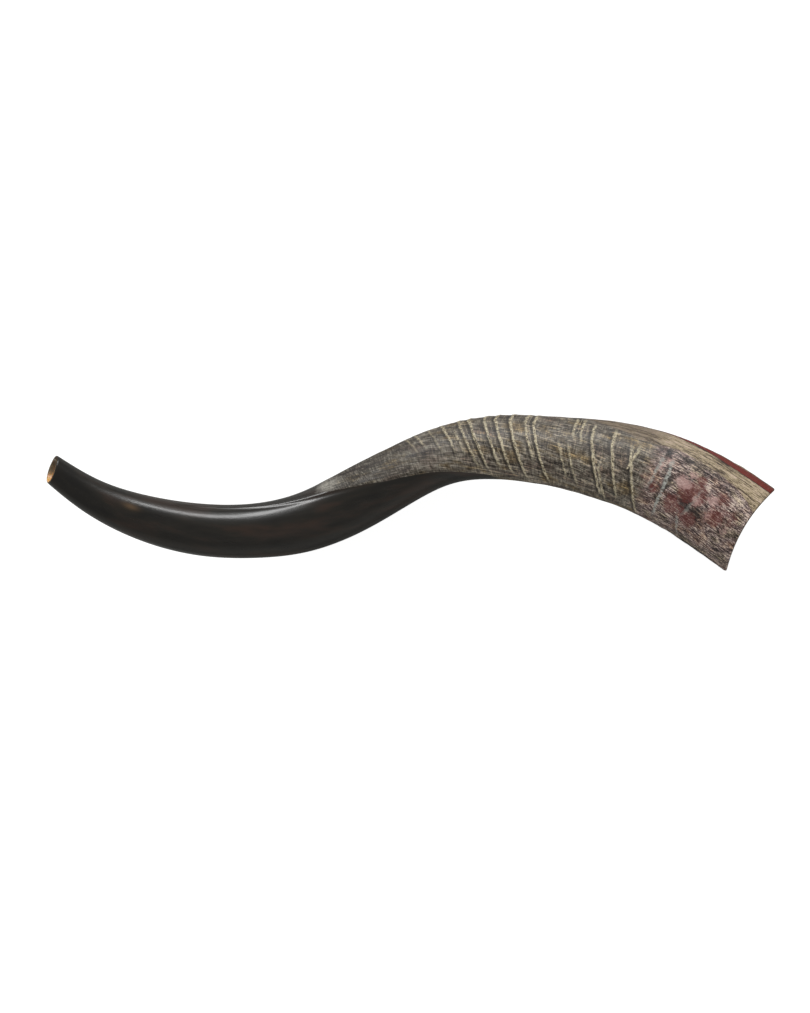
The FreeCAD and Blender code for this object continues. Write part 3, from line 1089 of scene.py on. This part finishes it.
    def keel_coat(self) -> Surface:
        """Cream and straw streaks with the red-brown edge and its dark line."""
        finish = self.keel_horn
        mixed = self.layered(
            (2.6, 40.0, 3.0, 61.0, 1.1), (0.7, 9.0, 4.0, 67.0, 1.4), (0.6, 2.0, 3.0, 69.0, 0.9)
        )
        stops = [
            (0.28, finish.shade), (0.46, finish.straw), (0.64, finish.cream), (0.80, finish.pink)
        ]
        tone = self.add("ValToRGB", {"Fac": mixed}, ramp=stops)
        early = self.add("MapRange", (self.read("bell"), 0.2, 0.95, 0.55, 0.0))
        ragged = (self.streaks(0.8, 14.0, 4.0, 65.0), 0.5, self.read("red_edge"))
        edge = self.add("Math", ragged, operation="MULTIPLY_ADD")
        line = self.add("MapRange", (edge, 0.32, 0.5, 0.0, 1.0))
        red = self.add("MapRange", (edge, 0.6, 0.85, 0.0, 1.0))
        tone = self.stained(tone, (early, finish.shade), (line, finish.line), (red, finish.red))
        rough = self.add("MapRange", (mixed, 0.3, 0.7, 0.5, 0.38))
        height = self.add("Math", (mixed, 0.3), operation="MULTIPLY")
        return Surface(tone, rough, height)

    def build(self) -> bpy.types.Material:
        """Lay the coats over each other by their masks and finish the shader."""
        makers = {
            Coat.RAW: self.raw_coat, Coat.SCARRED: self.scarred_coat, Coat.KEEL: self.keel_coat
        }
        under = self.polished_coat()
        for coat in self.coats:
            over = makers[coat]()
            ragged = (self.streaks(1.6, 8.0, 4.0, 71.0), 0.7, self.read(coat.value))
            mask = self.add("Math", ragged, operation="MULTIPLY_ADD")
            border = (mask, 0.6, 1.05, 0.0, 1.0)
            mask = self.add("MapRange", border, interpolation_type="SMOOTHSTEP")
            under = Surface(
                self.add("Mix", {0: mask, 6: under.colour, 7: over.colour}, data_type="RGBA"),
                self.add("Mix", {0: mask, 2: under.rough, 3: over.rough}, data_type="FLOAT"),
                self.add("Mix", {0: mask, 2: under.height, 3: over.height}, data_type="FLOAT"),
            )
        wax = self.raw_horn.wax if Coat.SCARRED in self.coats else self.polished.wax
        gloss = {"Roughness": under.rough, "Coat Weight": wax, "Coat Roughness": 0.12}
        return self.close({"Base Color": under.colour, **gloss}, under.height)


@dataclass(frozen=True)
class PlainHorn:
    """Horn of one coat, coloured and roughened by the same fibres."""

    name: str
    dark: str
    middle: str
    light: str
    places: tuple[float, float, float]
    stretch: tuple[float, float, float]
    detail: float
    raggedness: float
    relief: float
    rough: float

    def material(self) -> bpy.types.Material:
        """The finish as a material."""
        made = MaterialTree(self.name)
        grain = made.read("grain", "Vector")
        place = made.add("VectorMath", (grain, self.stretch), operation="MULTIPLY")
        texture = {"Vector": place, "Scale": 1.0, "Detail": self.detail}
        fibres = made.add("TexNoise", texture | {"Roughness": self.raggedness})
        stops = list(zip(self.places, (self.dark, self.middle, self.light)))
        tone = made.add("ValToRGB", {"Fac": fibres}, ramp=stops)
        height = made.add("Math", (fibres, self.relief), operation="MULTIPLY")
        return made.close({"Base Color": tone, "Roughness": self.rough}, height)


@dataclass(frozen=True)
class HollowHorn(PlainHorn):
    """The inside that the bony core left: dull, fibrous and tan-brown."""

    name: str = "hollow_inside_horn"
    dark: str = "#2a2018"
    middle: str = "#4a3a28"
    light: str = "#8a7352"
    places: tuple[float, float, float] = (0.3, 0.5, 0.72)
    stretch: tuple[float, float, float] = (0.9, 0.9, 0.08)
    detail: float = 5.0
    raggedness: float = 0.65
    relief: float = 0.5
    rough: float = 0.7


@dataclass(frozen=True)
class RingHorn(PlainHorn):
    """A growth ring's worn crest: chalky cream horn with brown specks where it is chipped."""

    name: str = "worn_cream_horn"
    dark: str = "#3a3128"
    middle: str = "#8d8168"
    light: str = "#cdc2a5"
    places: tuple[float, float, float] = (0.38, 0.48, 0.6)
    stretch: tuple[float, float, float] = (0.9, 0.9, 0.35)
    detail: float = 4.0
    raggedness: float = 0.6
    relief: float = 0.3
    rough: float = 0.55


@dataclass(frozen=True)
class AmberCore:
    """The horn's bared core in the lip cup: amber and glassy, greyer on its upper side."""

    name: str = "carved_amber_horn"
    amber: str = "#cf8742"
    honey: str = "#f0b878"
    grey: str = "#6d6c5c"
    streak: str = "#3b3022"
    middle: tuple[float, float, float] = (-265.0, 4.5, 124.5)

    def material(self) -> bpy.types.Material:
        """The finish as a material."""
        made = MaterialTree(self.name)
        place = made.add("TexCoord").node.outputs["Object"]
        shift = tuple(-number for number in self.middle)
        moved = {"Vector": place, "Location": shift, "Scale": (1 / MM, 1 / MM, 1 / MM)}
        local = made.add("Mapping", moved)
        texture = {"Vector": local, "Scale": 0.35, "Detail": 4.0, "Roughness": 0.6}
        layers = made.add("TexNoise", texture | {"Distortion": 0.4})
        stops = [(0.3, self.streak), (0.42, self.amber), (0.6, self.honey)]
        tone = made.add("ValToRGB", {"Fac": layers}, ramp=stops)
        height = made.add("SeparateXYZ", {"Vector": local}).node.outputs["Y"]
        upper = made.add("Math", (layers, 6.0, height), operation="MULTIPLY_ADD")
        upper = made.add("MapRange", (upper, 2.0, 6.0, 0.0, 0.85))
        tone = made.add("Mix", {0: upper, 6: tone, 7: self.grey}, data_type="RGBA")
        relief = made.add("Math", (layers, 0.3), operation="MULTIPLY")
        glass = {
            "Subsurface Weight": 0.3, "Subsurface Radius": (1.0, 0.5, 0.2), "Subsurface Scale": 0.004
        }
        return made.close({"Base Color": tone, "Roughness": 0.3, **glass}, relief)


@dataclass
class HornWall:
    """The five closed pieces of the horn's wall, parted from one sheet."""

    form: HornForm
    skin: SkinMap
    sheet: Sheet
    inside: bpy.types.Material = field(default_factory=lambda: HollowHorn().material())

    def part_off(self, source: bmesh.types.BMesh, zone: Zone) -> bmesh.types.BMesh:
        """Copy one zone off the wrapped sheet and thicken it inwards to the hollow."""
        bm = source.copy()
        layer = bm.faces.layers.int["zone"]
        others = [face for face in bm.faces if face[layer] != zone.value]
        bmesh.ops.delete(bm, geom=others, context="FACES")
        outer = set(bm.faces)
        made = bmesh.ops.extrude_face_region(bm, geom=bm.faces[:], use_keep_orig=True)["geom"]
        verts = [item for item in made if isinstance(item, bmesh.types.BMVert)]
        inner = {item for item in made if isinstance(item, bmesh.types.BMFace)}
        turned = bm.verts.layers.float["turned"]
        sheet_way = bm.verts.layers.float["sheet_way"]
        way = np.array([vert[sheet_way] for vert in verts])
        turn = np.array([vert[turned] for vert in verts])
        for vert, point in zip(verts, self.sheet.inner_points(way, turn)):
            vert.co = point
        for face in bm.faces:
            face.material_index = 0 if face in outer else 1
            face.smooth = face in outer or face in inner
        for edge in bm.edges:
            kinds = {(face in outer, face in inner) for face in edge.link_faces}
            edge.smooth = len(kinds) == 1
        return bm

    def mark(self, mesh: bpy.types.Mesh) -> None:
        """Store on a piece what its finishes read."""
        run, turn = run_and_turn(mesh)
        put_attribute(mesh, "grain", self.sheet.grain(run, turn))
        put_attribute(mesh, "raw", self.skin.raw(run, turn))
        put_attribute(mesh, "bell", ease(480, 516, run))
        put_attribute(mesh, "young", ease(375, 250, run))
        put_attribute(mesh, "keel", self.skin.keel(run, turn))
        put_attribute(mesh, "red_edge", self.skin.red_edge(run, turn))
        for name, items in (("ridge", RIDGES), ("scar", SCARS)):
            distance, strength = self.skin.ridges(run, turn, items)
            put_attribute(mesh, f"{name}_distance", distance)
            put_attribute(mesh, f"{name}_strength", strength)
        stains = {
            "red_stain": RED_PATCHES, "pale_stain": PALE_PATCHES, "dark_stain": DARK_PATCHES,
            "scuff": (Patch(95, 0.19, 9, 14, 1.0),), "tan": (Patch(68, 0.13, 6, 2.2, 0.7),),
            "chalk": (Patch(232, 0.935, 22, 12, 1.0), Patch(300, 0.2, 26, 10, 0.9)),
        }
        for name, items in stains.items():
            put_attribute(mesh, name, self.skin.blots(run, turn, items))

    def build(self) -> None:
        sheet = self.sheet.unrolled()
        self.sheet.wrap(sheet)
        every = tuple(Coat)
        plans = (
            (Zone.TIP, "black_tip", "polished_black_horn", "satin_black_horn_tip", ()),
            (Zone.STEM, "polished_stem", "polished_black_horn", "satin_black_horn", (Coat.RAW,)),
            (Zone.RIDGED, "ridged_wall", "raw_grey_horn", "weathered_grey_horn", every),
            (Zone.BELL, "bell_wall", "scarred_horn", "scarred_bell_horn", every),
            (Zone.KEEL, "keel_band", "cream_horn", "streaked_cream_horn", every),
        )
        for zone, node, slot, finish, coats in plans:
            material = SkinMaterial(finish, coats).build()
            bm = self.part_off(sheet, zone)
            piece = store(bm, f"{node}_skin", [material, self.inside])
            self.mark(piece.data)
            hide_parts(node)
        sheet.free()


@dataclass
class GrowthRings:
    """The raised crests of the growth rings, let into the wall so only their tops show."""

    form: HornForm
    sheet: Sheet
    step: float = 1.4
    half_width: float = 1.0
    height: float = 0.30
    depth: float = 0.9

    def strip(self, bm: bmesh.types.BMesh, ridge: Ridge, index: int) -> None:
        """Add one ring: a strip of grid laid along its ridge and thickened into the wall."""
        girth = float(self.form.girth(np.array([ridge.run]))[0])
        steps = max(6, round(2 * ridge.reach * girth / self.step))
        grid = bmesh.ops.create_grid(bm, x_segments=steps, y_segments=4, size=0.5)["verts"]
        flat = np.array([vert.co[:] for vert in grid])
        half = np.abs(flat[:, 0]).max()
        share, across = flat[:, 0] / half, flat[:, 1] / half
        turn = ridge.middle + share * ridge.reach
        taper = np.sqrt(np.clip(1.0 - share**4, 0.0, 1.0)) * (0.55 + 0.45 * ridge.strength)
        spine = ridge.line(turn)
        wander = crumble(self.sheet.grain(spine, turn), 9.0, 3.1 * index)
        run = spine + 0.7 * wander + across * self.half_width * (0.25 + 0.75 * taper)
        grain = self.sheet.grain(run, turn)
        base = self.sheet.outer_points(run, run, turn)
        chips = crumble(grain, 2.6, 7.7 * index)
        crown = self.height * taper * (1.0 - across**2) * (0.75 + 0.9 * chips) - 0.12
        normal = self.form.normal(run, turn)
        points = base + normal * crown[:, None]
        along = bm.verts.layers.float["along"]
        turned = bm.verts.layers.float["turned"]
        for vert, point, one_run, one_turn in zip(grid, points, run, turn):
            vert.co = point
            vert[along], vert[turned] = one_run, one_turn
        self.thicken(bm, grid)

    def thicken(self, bm: bmesh.types.BMesh, grid: list[bmesh.types.BMVert]) -> None:
        """Close a strip with sides and an underside sunk in the wall."""
        along = bm.verts.layers.float["along"]
        turned = bm.verts.layers.float["turned"]
        faces = list({face for vert in grid for face in vert.link_faces})
        made = bmesh.ops.extrude_face_region(bm, geom=faces, use_keep_orig=True)["geom"]
        lower = [item for item in made if isinstance(item, bmesh.types.BMVert)]
        run = np.array([vert[along] for vert in lower])
        turn = np.array([vert[turned] for vert in lower])
        sunk = self.form.outer(run, turn) - self.form.normal(run, turn) * self.depth
        for vert, point in zip(lower, sunk):
            vert.co = point

    def build(self) -> None:
        bm = bmesh.new()
        bm.verts.layers.float.new("along")
        bm.verts.layers.float.new("turned")
        for index, ridge in enumerate(RIDGES):
            self.strip(bm, ridge, index)
        for face in bm.faces:
            face.smooth = True
        piece = store(bm, "growth_ring_crests", [RingHorn().material()])
        put_attribute(piece.data, "grain", self.sheet.grain(*run_and_turn(piece.data)))
        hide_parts("growth_rings")


@dataclass
class LipCup:
    """The amber lining that the player's lips meet, carved to a cup."""

    mouth: MouthCut
    steps: int = 72
    overshoot: float = 4.0
    ease_width: float = 0.35

    def outline(self) -> list[tuple[float, float]]:
        """Radius and depth of the corners of the cup's wall, up its inside and down its back."""
        mouth, foot = self.mouth, self.mouth.cup_depth
        outer_growth = (mouth.lining_radius - mouth.lining_foot) / foot
        inner_growth = (mouth.lips_radius - mouth.bore_radius) / foot
        inner = [(mouth.bore_radius, foot), (mouth.bore_radius + self.ease_width, foot - 1.2)]
        for depth in (foot - 2.6, foot - 4.5, foot - 6.5, foot - 8.5, -self.overshoot):
            share = (foot - depth) / (foot + self.overshoot)
            flare = self.ease_width * math.sin(math.pi * share)
            inner.append((mouth.bore_radius + inner_growth * (foot - depth) + flare, depth))
        back = mouth.lining_radius + outer_growth * self.overshoot
        return inner + [(back, -self.overshoot), (mouth.lining_foot, foot)]

    def build(self) -> None:
        """Spin the cup's wall, saw it level with the tip and ease its lips."""
        mouth = self.mouth
        bm = bmesh.new()
        turn = Matrix((Vector(mouth.side), Vector(mouth.rise), Vector(mouth.drill))).transposed()
        verts = [bm.verts.new((radius, 0.0, depth)) for radius, depth in self.outline()]
        edges = [bm.edges.new(pair) for pair in zip(verts, verts[1:] + verts[:1])]
        bmesh.ops.spin(
            bm, geom=verts + edges, cent=(0, 0, 0), axis=(0, 0, 1), dvec=(0, 0, 0),
            angle=2 * math.pi, steps=self.steps, use_merge=True,
        )
        bmesh.ops.transform(
            bm, verts=bm.verts, matrix=Matrix.Translation(Vector(mouth.face)) @ turn.to_4x4()
        )
        cut = bmesh.ops.bisect_plane(
            bm, geom=bm.verts[:] + bm.edges[:] + bm.faces[:], dist=0.001,
            plane_co=Vector(mouth.face), plane_no=Vector(mouth.face_normal), clear_inner=True,
        )["geom_cut"]
        rims = [item for item in cut if isinstance(item, bmesh.types.BMEdge)]
        bmesh.ops.bridge_loops(bm, edges=rims)
        bmesh.ops.recalc_face_normals(bm, faces=bm.faces)
        bmesh.ops.bevel(
            bm, geom=rims, offset=0.25, offset_type="OFFSET", affect="EDGES", segments=2,
            profile=0.5, material=-1, clamp_overlap=True,
        )
        for face in bm.faces:
            face.smooth = True
        piece = store(bm, "lip_cup_lining", [AmberCore().material()])
        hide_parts("mouth_cup")


@dataclass
class Studio:
    """A pale floor, soft lights and the camera."""

    target: tuple[float, float, float] = (-0.0076, -0.0106, 0.0546)
    eye: tuple[float, float, float] = (0.2171, -0.5609, 2.1382)
    lens: float = 100.0
    backlight: float = 0.9
    room_light: float = 0.2
    right: tuple[float, float, float] = (0.9942, 0.0, -0.1072)
    up: tuple[float, float, float] = (0.0272, 0.9672, 0.2525)

    def floor(self) -> None:
        """A plain matt floor."""
        bm = bmesh.new()
        bmesh.ops.create_grid(bm, x_segments=1, y_segments=1, size=12.0)
        bmesh.ops.translate(bm, verts=bm.verts, vec=(0, 0, -0.0002))
        mesh = bpy.data.meshes.new("floor")
        bm.to_mesh(mesh)
        bm.free()
        paper = MaterialTree("matt_white_paper")
        place = paper.add("TexCoord").node.outputs["Object"]
        tooth = paper.add("TexNoise", {"Vector": place, "Scale": 700.0, "Detail": 2.0})
        seen = paper.add("LightPath").node.outputs["Is Camera Ray"]
        looks = {
            "Base Color": "#8c8c8a",
            "Roughness": paper.add("MapRange", {0: tooth, 3: 0.75, 4: 0.9}),
            "IOR": 1.45,
            "Emission Color": "#ffffff",
            "Emission Strength": paper.add("Math", (seen, self.backlight), operation="MULTIPLY"),
        }
        mesh.materials.append(paper.close(looks))
        floor = bpy.data.objects.new("floor", mesh)
        bpy.context.scene.collection.objects.link(floor)
        floor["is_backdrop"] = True

    def light(
        self, name: str, place: Vector, aim: Vector, size: tuple, power: float
    ) -> bpy.types.Object:
        """Add one softbox.

        Args:
            name: the light's name.
            place: where it stands, in metres.
            aim: what it faces.
            size: its two sides.
            power: its strength in watts.

        Returns:
            The lamp.
        """
        data = bpy.data.lights.new(name, "AREA")
        data.shape, data.size, data.size_y, data.energy = "RECTANGLE", size[0], size[1], power
        lamp = bpy.data.objects.new(name, data)
        lamp.location = place
        lamp.rotation_euler = (place - aim).to_track_quat("Z", "Y").to_euler()
        bpy.context.scene.collection.objects.link(lamp)
        return lamp

    def build(self) -> None:
        """Set up the floor, the lights, the surroundings and the camera."""
        self.floor()
        scene = bpy.context.scene
        world = bpy.data.worlds.new("soft_room")
        world.use_nodes = True
        for name, value in (("Color", (1, 1, 1, 1)), ("Strength", self.room_light)):
            world.node_tree.nodes["Background"].inputs[name].default_value = value
        scene.world = world
        scene.view_settings.view_transform = "Standard"
        aim = Vector(self.target)
        self.light("key_softbox", Vector((-0.15, 1.25, 1.15)), aim, (2.2, 0.42), 33.0)
        fill = self.light("fill_softbox", Vector((0.9, -1.5, 1.1)), aim, (1.6, 1.2), 26.0)
        fill.visible_glossy = False
        eye, right, up = Vector(self.eye), Vector(self.right), Vector(self.up)
        back = right.cross(up).normalized()
        data = bpy.data.cameras.new("camera")
        data.lens, data.sensor_width = self.lens, 36.0
        data.clip_start, data.clip_end = 0.05, 20.0
        camera = bpy.data.objects.new("camera", data)
        turn = Matrix((right.normalized(), up.normalized(), back)).transposed().to_4x4()
        camera.matrix_world = Matrix.Translation(eye) @ turn
        scene.collection.objects.link(camera)
        scene.camera = camera


def main() -> None:
    """Build the horn piece by piece, then the studio, and note both boxes."""
    logging.basicConfig(level=logging.INFO, format="%(name)s: %(message)s")
    form = HornForm(SLICES)
    skin = SkinMap(form)
    sheet = Sheet(form, skin)
    HornWall(form, skin, sheet).build()
    GrowthRings(form, sheet).build()
    LipCup(sheet.mouth).build()
    Studio().build()
    boxes = {
        "cad": [[float(number) for number in corner] for corner in CAD_BOX],
        "visual": [[float(number) for number in corner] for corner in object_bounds()],
    }
    for name, box in boxes.items():
        LOG.info("%s box %s", name, [[round(number, 4) for number in corner] for corner in box])


if __name__ == "__main__":
    main()
